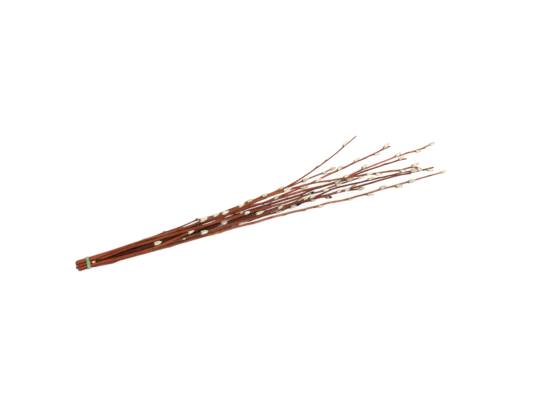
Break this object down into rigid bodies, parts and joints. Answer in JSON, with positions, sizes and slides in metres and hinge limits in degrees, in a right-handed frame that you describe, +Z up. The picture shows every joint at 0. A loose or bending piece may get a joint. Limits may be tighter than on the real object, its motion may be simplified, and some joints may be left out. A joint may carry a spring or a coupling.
{
  "type": "bunch of pussy willow branches",
  "caption": "Tied bunch of cut pussy-willow stems with soft catkins, lying flat and fanning out from a rubber band near the cut ends.",
  "frame": {"origin": "middle of the bunch's outline, on the floor that it lies on", "axes": "+X along the bunch from the cut ends to the tips, +Y to the side that the outermost stem bends to, +Z up from the floor"},
  "size_m": [0.7197, 0.1153, 0.063],
  "materials": {
    "bark": "smooth red-brown bark, slightly glossy",
    "band": "matt mint-green rubber",
    "catkin": "soft silky cream hairs, greyer at the base",
    "scale": "glossy dark brown bud scales",
    "cut": "rough dry cut wood, dark olive-brown"
  },
  "bodies": {
    "root": {"willow_stem_a": "bark", "willow_stem_b": "bark", "willow_stem_c": "bark", "willow_stem_d": "bark", "willow_stem_e": "bark", "willow_stem_f": "bark", "willow_stem_g": "bark", "willow_stem_h": "bark", "willow_stem_i": "bark", "willow_stem_j": "bark", "willow_stem_k": "bark", "willow_stem_l": "bark", "rubber_band": "band"}
  },
  "joints": []
}
